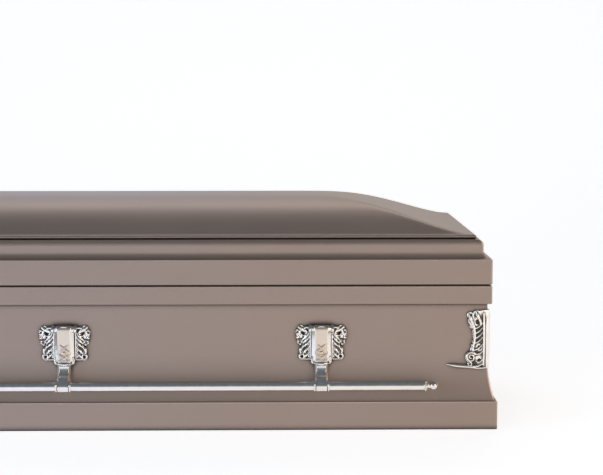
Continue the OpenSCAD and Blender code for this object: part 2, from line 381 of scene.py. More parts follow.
def stroke(points, flat=1.0, sides=12):
    """A closed tapering limb through points (u, v, o, radius), flattened towards the wall."""
    line = smooth_points(points)
    shape = bmesh.new()
    rings = []
    tangents = np.gradient(line[:, :3], axis=0)
    for (u, v, o, radius), tangent in zip(line, tangents):
        across = np.array([-tangent[1], tangent[0], 0.0])
        across /= max(np.linalg.norm(across), 1e-6)
        radius = max(radius, 0.3)
        ring = []
        for k in range(sides):
            t = 2 * math.pi * k / sides
            offset = across * math.cos(t) * radius + np.array([0, 0, math.sin(t) * radius * flat])
            ring.append(shape.verts.new(np.array([u, v, o]) + offset))
        rings.append(ring)
    for a, b in zip(rings, rings[1:]):
        bridge(shape, a, b)
    for ring, tangent, way in ((rings[0], tangents[0], -1), (rings[-1], tangents[-1], 1)):
        middle_point = sum((v.co for v in ring), Vector()) / sides
        reach = (ring[0].co - middle_point).length * 0.8
        tip = shape.verts.new(middle_point + way * reach * Vector(tangent / np.linalg.norm(tangent)))
        for k in range(sides):
            shape.faces.new((ring[k], ring[(k + 1) % sides], tip))
    return finished("stroke", shape, True)


def scroll(u, v, outer, inner, start, turn, thick, thin, base=4.0, steps=14):
    """A volute: a limb that winds in from a start angle through a turn, in degrees."""
    points = []
    for i in range(steps + 1):
        t = i / steps
        angle = math.radians(start + turn * t)
        radius = outer + (inner - outer) * t
        points.append((u + radius * math.cos(angle), v + radius * math.sin(angle),
                       base + 1.5 * t, thick + (thin - thick) * t))
    return stroke(points)


def ball(u, v, o, radius, flat=0.9):
    """A round bead."""
    shape = bmesh.new()
    bmesh.ops.create_icosphere(shape, subdivisions=3, radius=radius)
    bmesh.ops.scale(shape, vec=(1, 1, flat), verts=shape.verts)
    bmesh.ops.translate(shape, vec=(u, v, o), verts=shape.verts)
    return finished("ball", shape)


def bead_tree():
    """Geometry nodes that set a row of beads along an edge line, evenly spaced."""
    tree = bpy.data.node_groups.new("bead_row", "GeometryNodeTree")
    face = tree.interface
    face.new_socket(name="Line", in_out="INPUT", socket_type="NodeSocketGeometry")
    face.new_socket(name="Bead count", in_out="INPUT", socket_type="NodeSocketInt")
    face.new_socket(name="Bead radius", in_out="INPUT", socket_type="NodeSocketFloat")
    face.new_socket(name="Finish", in_out="INPUT", socket_type="NodeSocketMaterial")
    face.new_socket(name="Beads", in_out="OUTPUT", socket_type="NodeSocketGeometry")
    nodes = tree.nodes
    given = nodes.new("NodeGroupInput")
    curve = nodes.new("GeometryNodeMeshToCurve")
    spaced = nodes.new("GeometryNodeResampleCurve")
    bead = nodes.new("GeometryNodeMeshUVSphere")
    bead.inputs["Segments"].default_value = 20
    bead.inputs["Rings"].default_value = 12
    placed = nodes.new("GeometryNodeInstanceOnPoints")
    real = nodes.new("GeometryNodeRealizeInstances")
    finish = nodes.new("GeometryNodeSetMaterial")
    result = nodes.new("NodeGroupOutput")
    link = tree.links.new
    link(given.outputs["Line"], curve.inputs["Mesh"])
    link(curve.outputs["Curve"], spaced.inputs["Curve"])
    link(given.outputs["Bead count"], spaced.inputs["Count"])
    link(given.outputs["Bead radius"], bead.inputs["Radius"])
    link(spaced.outputs["Curve"], placed.inputs["Points"])
    link(bead.outputs["Mesh"], placed.inputs["Instance"])
    link(placed.outputs["Instances"], real.inputs["Geometry"])
    link(real.outputs["Geometry"], finish.inputs["Geometry"])
    link(given.outputs["Finish"], finish.inputs["Material"])
    link(finish.outputs["Geometry"], result.inputs["Beads"])
    return tree


def bead_row(points, count, radius, material, closed=False):
    """Beads along a line of points, as a plain mesh."""
    tree = bpy.data.node_groups.get("bead_row") or bead_tree()
    line = bpy.data.meshes.new("bead_line")
    edges = [(i, i + 1) for i in range(len(points) - 1)]
    if closed:
        edges.append((len(points) - 1, 0))
    line.from_pydata([tuple(p) for p in points], edges, [])
    piece = linked("bead_line", line)
    modifier = piece.modifiers.new("beads", "NODES")
    modifier.node_group = tree
    values = {"Bead count": count, "Bead radius": radius, "Finish": material}
    for item in tree.interface.items_tree:
        if item.name in values and item.in_out == "INPUT":
            modifier[item.identifier] = values[item.name]
    return taken(piece)


def cast(name, meshes, grain, keep, relax=2):
    """Fuses overlapping solids into one cast surface, softens it and thins its faces."""
    piece = linked(name, joined(name, meshes))
    fuse = piece.modifiers.new("fuse", "REMESH")
    fuse.mode = "VOXEL"
    fuse.voxel_size = grain
    soften = piece.modifiers.new("soften", "SMOOTH")
    soften.factor = 0.5
    soften.iterations = relax
    thin = piece.modifiers.new("thin", "DECIMATE")
    thin.ratio = keep
    return taken(piece)


def mark_recesses(mesh, reach=14, depth=0.5):
    """Writes the point attribute recess: 1 in hollows and 0 on ridges and open faces."""
    count = len(mesh.vertices)
    co = np.zeros(count * 3)
    mesh.vertices.foreach_get("co", co)
    co = co.reshape(-1, 3)
    normal = np.array([v.normal for v in mesh.vertices])
    edges = np.zeros(len(mesh.edges) * 2, int)
    mesh.edges.foreach_get("vertices", edges)
    a, b = edges.reshape(-1, 2).T
    links = np.bincount(a, minlength=count) + np.bincount(b, minlength=count)
    soft = co.copy()
    for _ in range(reach):
        total = np.zeros_like(soft)
        np.add.at(total, a, soft[b])
        np.add.at(total, b, soft[a])
        soft = total / links[:, None]
    hollow = ((soft - co) * normal).sum(1)
    value = np.clip(0.15 + hollow / depth, 0, 1)
    attribute = mesh.attributes.new("recess", "FLOAT", "POINT")
    attribute.data.foreach_set("value", value.astype(np.float32))


def thinned_cad(node, shift):
    """A merged copy of a CAD node in millimetres, with shift applied to its points."""
    shape = bmesh.new()
    shape.from_mesh(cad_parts[node].data)
    for v in shape.verts:
        v.co /= MM
    bmesh.ops.remove_doubles(shape, verts=shape.verts, dist=0.01)
    for v in shape.verts:
        v.co = shift(v.co)
    return finished(node + "_base", shape, True)


def mirrored(mesh, x=1, y=1, z=1):
    """A copy turned over along the axes given as -1."""
    copy = mesh.copy()
    copy.transform(Matrix.Diagonal((x, y, z, 1)))
    if x * y * z < 0:
        copy.flip_normals()
    return copy


def on_side(side, x=0.0, z=0.0):
    """The matrix from (u, v, o) in millimetres to the front or back wall, in metres."""
    way = 1 if side == "front" else -1
    place = Matrix(((way, 0, 0, x), (0, 0, -way, -way * WALL_Y), (0, 1, 0, z), (0, 0, 0, 1)))
    return Matrix.Diagonal((MM, MM, MM, 1)) @ place


def placed_copy(mesh, name, matrix, material, sharp=60.0):
    """A copy of a mesh put in its place."""
    copy = mesh.copy()
    copy.transform(matrix)
    return new_piece(name, copy, material, sharp)


# ---- Materials ----

def blank_material(name):
    """A material with its shader, and a short way to add nodes to it."""
    material = bpy.data.materials.new(name)
    material.use_nodes = True
    shader = material.node_tree.nodes["Principled BSDF"]

    def add(kind, **values):
        node = material.node_tree.nodes.new(kind)
        for key, value in values.items():
            if hasattr(node, key):
                setattr(node, key, value)
            else:
                node.inputs[key.replace("_", " ").title()].default_value = value
        return node

    return material, shader, add, material.node_tree.links.new


def noise(add, link, place, scale, detail=3.0, roughness=0.5):
    """Noise on object coordinates."""
    texture = add("ShaderNodeTexNoise", scale=scale, detail=detail, roughness=roughness)
    link(place.outputs["Object"], texture.inputs["Vector"])
    return texture


def painted_fold_highlight(add, link, place):
    """A socket that is 1 on open sheet and higher on tight folds that face up, where cloths rub
    the enamel."""
    shape = add("ShaderNodeNewGeometry")
    fold = add("ShaderNodeMapRange", interpolation_type="SMOOTHSTEP", from_min=0.5112, from_max=0.5165)
    link(shape.outputs["Pointiness"], fold.inputs["Value"])
    facing = add("ShaderNodeSeparateXYZ")
    link(place.outputs["Normal"], facing.inputs["Vector"])
    upward = add("ShaderNodeMapRange", from_min=-0.1, from_max=0.35)
    link(facing.outputs["Z"], upward.inputs["Value"])
    both = add("ShaderNodeMath", operation="MULTIPLY")
    link(fold.outputs["Result"], both.inputs[0])
    link(upward.outputs["Result"], both.inputs[1])
    gain = add("ShaderNodeMapRange", to_min=1.0, to_max=2.3)
    link(both.outputs[0], gain.inputs["Value"])
    return gain.outputs["Result"]


def paint_material(finish, name="casket_paint", with_fold_highlight=True):
    """Satin metallic enamel: fine flake, faint orange peel and slow waves in the sheet."""
    material, shader, add, link = blank_material(name)
    shader.inputs["Metallic"].default_value = 0.65
    shader.inputs["Specular Tint"].default_value = (0.6, 0.55, 0.52, 1)
    shader.inputs["Coat Weight"].default_value = 0.06
    shader.inputs["Coat Roughness"].default_value = 0.2
    place = add("ShaderNodeTexCoord")
    flake = noise(add, link, place, 1400.0, 2.0)
    cloud = noise(add, link, place, 2.2, 3.0)
    blend = add("ShaderNodeMath", operation="MULTIPLY_ADD")
    link(cloud.outputs["Fac"], blend.inputs[0])
    blend.inputs[1].default_value = 0.35
    link(flake.outputs["Fac"], blend.inputs[2])
    ramp = add("ShaderNodeValToRGB")
    ramp.color_ramp.elements[0].position = 0.45
    ramp.color_ramp.elements[0].color = (*finish.paint_deep, 1)
    ramp.color_ramp.elements[1].position = 0.92
    ramp.color_ramp.elements[1].color = (*finish.paint, 1)
    link(blend.outputs[0], ramp.inputs["Fac"])
    # Painted shade: the enamel is darkened by ambient occlusion in creases, in the lid gap and under the
    # bands, where shade falls.
    crevice_shade = add("ShaderNodeAmbientOcclusion")
    crevice_shade.samples = 6
    crevice_shade.inputs["Distance"].default_value = 0.018
    depth = add("ShaderNodeMapRange", interpolation_type="SMOOTHSTEP")
    depth.inputs["From Min"].default_value = 0.46
    depth.inputs["From Max"].default_value = 0.92
    depth.inputs["To Min"].default_value = 0.07
    link(crevice_shade.outputs["AO"], depth.inputs["Value"])
    enamel = ramp.outputs["Color"]
    # Painted highlight: tight folds that face up are lightened, as where they catch the light from above.
    if with_fold_highlight:
        fold_lit = add("ShaderNodeVectorMath", operation="SCALE")
        link(enamel, fold_lit.inputs[0])
        link(painted_fold_highlight(add, link, place), fold_lit.inputs["Scale"])
        enamel = fold_lit.outputs["Vector"]
    # The painted shade darkens the enamel here.
    shaded_enamel = add("ShaderNodeVectorMath", operation="SCALE")
    link(enamel, shaded_enamel.inputs[0])
    link(depth.outputs["Result"], shaded_enamel.inputs["Scale"])
    link(shaded_enamel.outputs["Vector"], shader.inputs["Base Color"])
    rough = add("ShaderNodeMapRange", to_min=0.33, to_max=0.43)
    link(cloud.outputs["Fac"], rough.inputs["Value"])
    link(rough.outputs["Result"], shader.inputs["Roughness"])
    peel = noise(add, link, place, 260.0, 2.0)
    wave = noise(add, link, place, 3.5, 1.0)
    fine = add("ShaderNodeBump", strength=0.08, distance=0.0006)
    link(peel.outputs["Fac"], fine.inputs["Height"])
    slow = add("ShaderNodeBump", strength=0.25, distance=0.004)
    link(wave.outputs["Fac"], slow.inputs["Height"])
    link(fine.outputs["Normal"], slow.inputs["Normal"])
    link(slow.outputs["Normal"], shader.inputs["Normal"])
    return material


def mixed(add, link, factor, a, b, kind="RGBA"):
    """A socket that goes from socket a to value b as the factor goes from 0 to 1."""
    blend = add("ShaderNodeMix", data_type=kind)
    link(factor, blend.inputs["Factor"])
    link(a, blend.inputs["A"])
    blend.inputs["B"].default_value = b
    return blend.outputs["Result"]


def silver_material(finish, name="hardware_silver", recessed=True, rough_low=0.12, rough_high=0.2):
    """Polished plate, dark and dull in its recesses, with faint rubbing marks."""
    material, shader, add, link = blank_material(name)
    shader.inputs["Metallic"].default_value = 1.0
    place = add("ShaderNodeTexCoord")
    rub = noise(add, link, place, 90.0, 5.0, 0.6)
    bright = add("ShaderNodeValToRGB")
    bright.color_ramp.elements[0].position = 0.3
    bright.color_ramp.elements[0].color = (*[c * 0.86 for c in finish.silver], 1)
    bright.color_ramp.elements[1].position = 0.7
    bright.color_ramp.elements[1].color = (*finish.silver, 1)
    link(rub.outputs["Fac"], bright.inputs["Fac"])
    rough = add("ShaderNodeMapRange", from_min=0.3, from_max=0.7, to_min=rough_low, to_max=rough_high)
    link(rub.outputs["Fac"], rough.inputs["Value"])
    colour_out, rough_out = bright.outputs["Color"], rough.outputs["Result"]
    if recessed:
        hollow = add("ShaderNodeAttribute", attribute_name="recess")
        dark = add("ShaderNodeMapRange", interpolation_type="SMOOTHSTEP", from_min=0.3, from_max=0.85)
        link(hollow.outputs["Fac"], dark.inputs["Value"])
        brushed = add("ShaderNodeAttribute", attribute_name="satin")
        for factor, tint, dull in ((dark.outputs["Result"], finish.tarnish, 0.55),
                                   (brushed.outputs["Fac"], finish.satin, 0.36)):
            colour_out = mixed(add, link, factor, colour_out, (*tint, 1))
            rough_out = mixed(add, link, factor, rough_out, dull, "FLOAT")
    link(colour_out, shader.inputs["Base Color"])
    link(rough_out, shader.inputs["Roughness"])
    return material


def steel_material(finish):
    """Plain drawn steel with fine lines round it."""
    material, shader, add, link = blank_material("pin_steel")
    shader.inputs["Metallic"].default_value = 1.0
    place = add("ShaderNodeTexCoord")
    stretch = add("ShaderNodeMapping", scale=(2500.0, 60.0, 60.0))
    link(place.outputs["Object"], stretch.inputs["Vector"])
    lines = add("ShaderNodeTexNoise", scale=1.0)
    link(stretch.outputs["Vector"], lines.inputs["Vector"])
    tone = add("ShaderNodeValToRGB")
    tone.color_ramp.elements[0].color = (*[c * 0.8 for c in finish.steel], 1)
    tone.color_ramp.elements[1].color = (*finish.steel, 1)
    link(lines.outputs["Fac"], tone.inputs["Fac"])
    link(tone.outputs["Color"], shader.inputs["Base Color"])
    rough = add("ShaderNodeMapRange", to_min=0.25, to_max=0.4)
    link(lines.outputs["Fac"], rough.inputs["Value"])
    link(rough.outputs["Result"], shader.inputs["Roughness"])
    return material


def floor_material(finish):
    """Matt floor, white to the camera with the object's shadow kept. In reflections it is also
    white, a little cool at the left and warm at the right, as between two bounce cards."""
    material, shader, add, link = blank_material("studio_floor")
    shader.inputs["Roughness"].default_value = 0.9
    shader.inputs["Specular IOR Level"].default_value = 0.1
    shader.inputs["Base Color"].default_value = (*finish.floor, 1)
    lift = add("ShaderNodeEmission", strength=finish.lift)
    place = add("ShaderNodeTexCoord")
    split = add("ShaderNodeSeparateXYZ")
    link(place.outputs["Object"], split.inputs["Vector"])
    across = add("ShaderNodeMapRange", interpolation_type="SMOOTHSTEP", from_min=-0.5, from_max=1.2)
    link(split.outputs["X"], across.inputs["Value"])
    cards = add("ShaderNodeMix", data_type="RGBA")
    link(across.outputs["Result"], cards.inputs["Factor"])
    cards.inputs["A"].default_value = (1.05, 1.12, 1.36, 1)
    cards.inputs["B"].default_value = (1.02, 0.97, 0.9, 1)
    path = add("ShaderNodeLightPath")
    card = add("ShaderNodeMix", data_type="RGBA")
    link(path.outputs["Is Camera Ray"], card.inputs["Factor"])
    link(cards.outputs["Result"], card.inputs["A"])
    card.inputs["B"].default_value = (1, 1, 1, 1)
    link(card.outputs["Result"], lift.inputs["Color"])
    lifted = add("ShaderNodeAddShader")
    link(shader.outputs["BSDF"], lifted.inputs[0])
    link(lift.outputs["Emission"], lifted.inputs[1])
    seen = seen_or_reflected(add, link)
    pick = add("ShaderNodeMixShader")
    link(seen, pick.inputs[0])
    link(shader.outputs["BSDF"], pick.inputs[1])
    link(lifted.outputs["Shader"], pick.inputs[2])
    link(pick.outputs["Shader"], material.node_tree.nodes["Material Output"].inputs["Surface"])
    return material


def seen_or_reflected(add, link):
    """A socket that is 1 for what the camera sees, straight or in a reflection."""
    path = add("ShaderNodeLightPath")
    mirrored_too = add("ShaderNodeMath", operation="MAXIMUM")
    through_too = add("ShaderNodeMath", operation="MAXIMUM")
    link(path.outputs["Is Camera Ray"], mirrored_too.inputs[0])
    link(path.outputs["Is Glossy Ray"], mirrored_too.inputs[1])
    link(mirrored_too.outputs[0], through_too.inputs[0])
    link(path.outputs["Is Transmission Ray"], through_too.inputs[1])
    return through_too.outputs[0]


MAKERS = {
    "casket_paint": paint_material,
    # The crown's enamel is the same paint without the painted fold highlight.
    "crown_paint": lambda finish: paint_material(finish, "crown_paint", False),
    "hardware_silver": silver_material,
    "bar_silver": lambda finish: silver_material(finish, "bar_silver", False, 0.16, 0.26),
    "pin_steel": steel_material,
    "studio_floor": floor_material,
}


def material_named(name):
    """The named material, made the first time it is asked for."""
    return bpy.data.materials.get(name) or MAKERS[name](bpy.context.scene.casket_finish)


# ---- Sheet metal pieces ----

def make_walls(scene):
    """The four walls, as one welded shell."""
    sheet = scene.casket_sheet
    mesh = folded_ring("body_shell", wall_line(sheet), sheet.thickness, sheet.corner)
    piece = new_piece("body_shell", mesh, material_named("casket_paint"))
    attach(piece, "casket")
    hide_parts("front_wall", "back_wall", "left_wall", "right_wall")


def make_lid_rim(scene):
    """The lid's rim, as one welded ring."""
    sheet = scene.casket_sheet
    mesh = folded_ring("lid_rim", rim_line(sheet, scene.casket_crown), sheet.thickness, sheet.corner)
    piece = new_piece("lid_rim", mesh, material_named("casket_paint"))
    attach(piece, "casket")
    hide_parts("front_lid_rim", "back_lid_rim", "left_lid_rim", "right_lid_rim")


def rise(t, start, end):
    """The crown's height over its foot, as a share of its rise, at a share of its run."""
    return 1 - (1 - min(max(t, 0.0), 1.0) ** start) ** end


def soft_least(a, b, soft):
    """The lesser of two heights, rounded where they are nearly alike."""
    soft = min(soft, max(a, b))
    if soft < 1e-6:
        return min(a, b)
    blend = max(soft - abs(a - b), 0.0) / soft
    return min(a, b) - blend * blend * soft / 4


def crown_stations(half, run, count, inner):
    """Coordinates from one foot of the crown to the other, closest together near the feet."""
    rising = [half - run * (i / count) ** 1.4 for i in range(count + 1)]
    flat = half - run
    level = [flat - 2 * flat * k / inner for k in range(1, inner)] if flat > 1 else []
    falling = [-x for x in reversed(rising)]
    return rising + level + (falling if flat > 1 else falling[1:])


def make_crown(scene):
    """The pressed crown of the lid: a hipped shell with a rolled bead round its foot."""
    crown = scene.casket_crown
    half_x = CROWN_X - crown.bead
    half_y = CROWN_Y - crown.bead
    foot_z = SHELF_Z + 2 * crown.bead
    xs = crown_stations(half_x, crown.end_run, 44, 18)
    ys = crown_stations(half_y, half_y, 34, 1)
    shape = bmesh.new()
    grid = []
    for x in xs:
        ends = rise((half_x - abs(x)) / crown.end_run, crown.end_start, crown.end_end)
        column = []
        for y in ys:
            sides = rise((half_y - abs(y)) / half_y, crown.side_start, crown.side_end)
            height = soft_least(sides, ends, crown.hip)
            column.append(shape.verts.new((x, y, foot_z + (TOP_Z - foot_z) * height)))
        grid.append(column)
    for a, b in zip(grid, grid[1:]):
        for k in range(len(ys) - 1):
            shape.faces.new((a[k], a[k + 1], b[k + 1], b[k]))
    border = (grid[0][:-1] + [column[-1] for column in grid[:-1]]
              + grid[-1][:0:-1] + [column[0] for column in grid[:0:-1]])
    section = [(crown.bead * math.cos(a), crown.bead * math.sin(a) - crown.bead)
               for a in (math.radians(90 - 180 * k / 12) for k in range(1, 13))]
    section.append((-crown.flange, -2 * crown.bead))
    previous = border
    for out, drop in section:
        ring = []
        for v in border:
            sx = (abs(abs(v.co.x) - half_x) < 1e-4) * math.copysign(1, v.co.x)
            sy = (abs(abs(v.co.y) - half_y) < 1e-4) * math.copysign(1, v.co.y)
            ring.append(shape.verts.new((v.co.x + sx * out, v.co.y + sy * out, foot_z + drop)))
        bridge(shape, previous, ring)
        previous = ring
    bmesh.ops.recalc_face_normals(shape, faces=shape.faces)
    middles = {face: face.calc_center_median() for face in shape.faces}
    if min(shape.faces, key=lambda face: abs(middles[face].x) + abs(middles[face].y)).normal.z < 0:
        bmesh.ops.reverse_faces(shape, faces=shape.faces)
    bmesh.ops.scale(shape, vec=(MM, MM, MM), verts=shape.verts)
    blank = linked("lid_crown_sheet", finished("lid_crown_sheet", shape))
    wall = blank.modifiers.new("sheet", "SOLIDIFY")
    wall.thickness = scene.casket_sheet.thickness * MM
    wall.offset = -1.0
    piece = new_piece("crown", taken(blank), material_named("crown_paint"), 50.0)
    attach(piece, "casket")
    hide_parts("lid_crown")


# ---- Cast hardware ----

def wing_relief(hardware):
    """Relief of the wing right of an arm: leaves, scrolls, flutes and beads."""
    silver = material_named("hardware_silver")
    edge = [(58, 74, 5.5), (59, 65, 5.5), (58.5, 56, 5.5), (56, 47.5, 5.5), (51, 40, 5.2)]
    leaves = [
        [(38, 70, 5, 2.5), (47, 76, 6.5, 4.2), (52, 81, 6.5, 3.6), (53.5, 86, 5.5, 1.2)],
        [(27, 78, 5, 2.4), (34, 81, 6, 2.8), (42, 79, 6, 2.4), (48, 72, 5, 1.4)],
        [(29, 71, 5, 2.4), (36, 60, 6.8, 3.2), (46, 49, 5.5, 1.4)],
        [(29, 60, 5, 2.2), (36, 50, 6.4, 3.0), (45, 41, 5, 1.2)],
        [(29, 48, 5, 2.0), (35, 40, 6.0, 2.6), (42, 33, 5, 1.2)],
        [(29, 35, 5, 2.2), (37, 25, 6.6, 3.2), (45, 15, 5, 1.4)],
        [(29, 22, 5, 2.0), (35, 13, 6.0, 2.8), (42, 5, 4.6, 1.4)],
        [(43, 34, 5, 2.2), (49.5, 28, 6.4, 3.6), (51, 20, 5.5, 2.4), (47, 17, 5, 1.4)],
        [(26, 3.5, 4.6, 2.2), (34, 2.8, 4.8, 2.2), (43, 3.4, 4.6, 2.0)],
    ]
    flutes = [
        [(26.6, 5, 4.4, 1.5), (26.6, 40, 5.4, 1.9), (26.6, 72, 4.6, 1.4)],
        [(30.6, 7, 4.4, 1.2), (31.0, 24, 5.0, 1.5), (30.6, 44, 4.4, 1.0)],
    ]
    meshes = [stroke(points, 0.9) for points in leaves + flutes]
    meshes += [
        scroll(43, 67, 11.5, 5.5, -70, 400, 2.6, 1.6, 5.0),
        scroll(52, 60, 6.5, 2.2, 130, -420, 2.0, 1.3, 5.0),
        scroll(47, 10, 6.6, 4.6, 100, -430, 2.4, 1.6, 4.6),
        bead_row(edge, hardware.beads, hardware.bead, silver),
        ball(36.5, 72, 5.5, 2.6),
        ball(43.5, 35, 5.5, 3.0),
        ball(33, 54, 5.5, 2.0),
        ball(33, 31, 5.5, 2.0),
        ball(51, 71, 6.0, 2.6),
    ]
    return meshes


def mark_satin(mesh, half, face, top, foot):
    """Writes the point attribute satin: 1 on an arm's flat front, between its bevels."""
    count = len(mesh.vertices)
    co = np.zeros(count * 3)
    mesh.vertices.foreach_get("co", co)
    u, v, o = co.reshape(-1, 3).T
    inside = np.clip((half - abs(u)) / 1.2, 0, 1) * np.clip((o - face) / 1.0, 0, 1)
    inside *= np.clip((top - v) / 2.0, 0, 1) * np.clip((v - foot) / 2.0, 0, 1)
    attribute = mesh.attributes.new("satin", "FLOAT", "POINT")
    attribute.data.foreach_set("value", inside.astype(np.float32))


def make_lugs(scene):
    """The six lugs: the CAD outline and ears, with the wings carved in relief."""
    hardware = scene.casket_hardware
    wing_top = 8.0

    def shift(point):
        out = -point.y - WALL_Y
        if abs(out - wing_top) < 0.05:
            out = hardware.plate
        return Vector((point.x, point.z - LUG_Z, out))

    base = thinned_cad("front_middle_lug", shift)
    right = wing_relief(hardware)
    left = [mirrored(mesh, x=-1) for mesh in right]
    mesh = cast("lug", [base] + right + left, hardware.grain, hardware.keep)
    mark_recesses(mesh)
    for side in SIDES:
        for station in STATIONS:
            node = f"{side}_{station}_lug"
            place = on_side(side, middle(node, 0), LUG_Z)
            piece = placed_copy(mesh, f"lug_{side}_{station}", place, material_named("hardware_silver"))
            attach(piece, "casket")
            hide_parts(node)


def arm_stations():
    """Front and back of an arm from its hinge to its bar, as (v front, o front, v back, o back,
    half width, bevel)."""
    bar_drop = BAR_Z - PIN_Z
    return [
        (9.0, 16.5, 4.0, 6.0, 19.0, 3.0),
        (6.5, 21.0, 2.0, 4.2, 22.0, 5.0),
        (1.0, 23.3, 0.0, 3.6, 23.4, 7.5),
        (-10.0, 23.2, -10.0, 3.4, 23.8, 8.8),
        (-30.0, 21.6, -30.0, 3.4, 23.6, 9.2),
        (-50.0, 20.4, -50.0, 3.4, 23.6, 9.4),
        (-68.0, 20.4, -68.0, 3.4, 24.0, 9.4),
        (-77.0, 21.2, -76.0, 3.6, 23.2, 8.5),
        (-81.5, 22.0, -80.0, 5.5, 18.5, 6.0),
        (-86.5, 25.0, -86.5, 9.5, 16.6, 5.0),
        (-97.0, 26.4, -98.0, 13.0, 15.6, 4.5),
        (-107.0, 31.0, -109.0, 19.0, 15.4, 4.5),
        (bar_drop + 19.0, BAR_OUT + 3.0, bar_drop + 14.0, BAR_OUT - 10.0, 15.8, 4.5),
        (bar_drop + 10.0, BAR_OUT + 11.0, bar_drop + 6.0, BAR_OUT - 10.0, 16.2, 4.5),
        (bar_drop + 4.0, BAR_OUT + 11.0, bar_drop + 2.0, BAR_OUT - 9.0, 16.5, 4.5),
    ]


def arm_core():
    """The arm's shield and neck, lofted between its stations."""
    rows = smooth_points(arm_stations(), 8)
    shape = bmesh.new()
    rings = []
    for v_front, o_front, v_back, o_back, half, bevel in rows:
        front = np.array([v_front, o_front])
        back = np.array([v_back, o_back])
        side = back + (front - back) * 0.56
        flat = half - bevel
        outline = [(-half, back), (half, back), (half, side), (flat, front), (-flat, front), (-half, side)]
        rings.append([shape.verts.new((u, p[0], p[1])) for u, p in outline])
    for a, b in zip(rings, rings[1:]):
        bridge(shape, a, b)
    shape.faces.new(rings[0])
    shape.faces.new(rings[-1])
    return finished("arm_core", shape, True)


def along_wall(mesh, v, o):
    """A turned mesh about Z laid along u, at a height and distance out."""
    turned = mesh.copy()
    turned.transform(Matrix.Translation((0, v, o)) @ Matrix.Rotation(math.radians(90), 4, "Y"))
    return turned


def arm_relief():
    """Raised crossing ribs with a boss, a ridge at the shield's foot and a curl at each corner."""
    centre = -58.0
    face = 20.4
    foot = (-14.0, centre, face, 1.9)
    ribs = [
        [foot, (-5, centre + 9, face + 0.6, 2.5), (9.5, centre + 21, face + 0.5, 1.4)],
        [foot, (-5, centre - 8.5, face + 0.6, 2.5), (9.5, centre - 19, face + 0.7, 1.5)],
    ]
    meshes = [stroke(points, 0.9) for points in ribs]
    meshes += [mirrored(mesh, x=-1) for mesh in meshes]
    meshes.append(ball(0, centre, face, 5.0, 0.7))
    meshes.append(stroke([(-16, -83, 20.5, 2.0), (0, -84, 23.8, 2.6), (16, -83, 20.5, 2.0)]))
    meshes.append(stroke([(-14, 4.5, 20.6, 1.6), (0, 7.4, 20.4, 1.8), (14, 4.5, 20.6, 1.6)]))
    curl = stroke([(20.5, -68, 15, 2.6), (22.5, -76, 16, 3.2), (21, -82.5, 17, 2.8), (16.5, -83, 18.5, 1.6)])
    return meshes + [curl, mirrored(curl, x=-1)]


def bored(mesh, cutters):
    """The mesh with cylinders along the wall cut out of it: (v, o, radius)."""
    piece = linked("bored", mesh)
    tools = []
    for v, o, radius in cutters:
        rod = lathe("rod", [(0, -60), (radius, -60), (radius, 60), (0, 60)], 72)
        tool = linked("rod", along_wall(rod, v, o))
        tools.append(tool)
        cut = piece.modifiers.new("bore", "BOOLEAN")
        cut.operation = "DIFFERENCE"
        cut.solver = "EXACT"
        cut.object = tool
    result = taken(piece)
    for tool in tools:
        bpy.data.objects.remove(tool)
    return result


def make_arms(scene):
    """The six arms that carry the bars."""
    hardware = scene.casket_hardware
    bar_drop = BAR_Z - PIN_Z
    half = hardware.arm_half
    barrel = lathe("barrel", [(0, -half), (hardware.barrel - 3.2, -half), (hardware.barrel - 2.2, 1 - half),
                              (hardware.barrel, 9 - half), (hardware.barrel, half - 9),
                              (hardware.barrel - 2.2, half - 1), (hardware.barrel - 3.2, half), (0, half)])
    eye_half = hardware.eye_half
    outer = hardware.bar + 4.0
    collar = [(0, -eye_half), (outer - 1.5, -eye_half), (outer - 0.2, 1.2 - eye_half), (outer, 3 - eye_half),
              (outer - 1.2, 5 - eye_half)]
    eye = lathe("eye", collar + [(r, -z) for r, z in reversed(collar)])
    solids = [arm_core(), along_wall(barrel, 0, PIN_OUT), along_wall(eye, bar_drop, BAR_OUT)] + arm_relief()
    mesh = cast("arm", solids, hardware.grain, hardware.keep * 0.8)
    mesh = bored(mesh, [(0, PIN_OUT, hardware.pin), (bar_drop, BAR_OUT, hardware.bar + 0.05)])
    mark_recesses(mesh, 10, 0.6)
    mark_satin(mesh, 15.2, 18.5, 5.0, -79.0)
    for side in SIDES:
        for station in STATIONS:
            node = f"{side}_{station}_arm"
            place = on_side(side, middle(node, 0), PIN_Z)
            piece = placed_copy(mesh, f"arm_{side}_{station}", place, material_named("hardware_silver"), 45.0)
            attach(piece, f"{side}_handle")
            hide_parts(node)


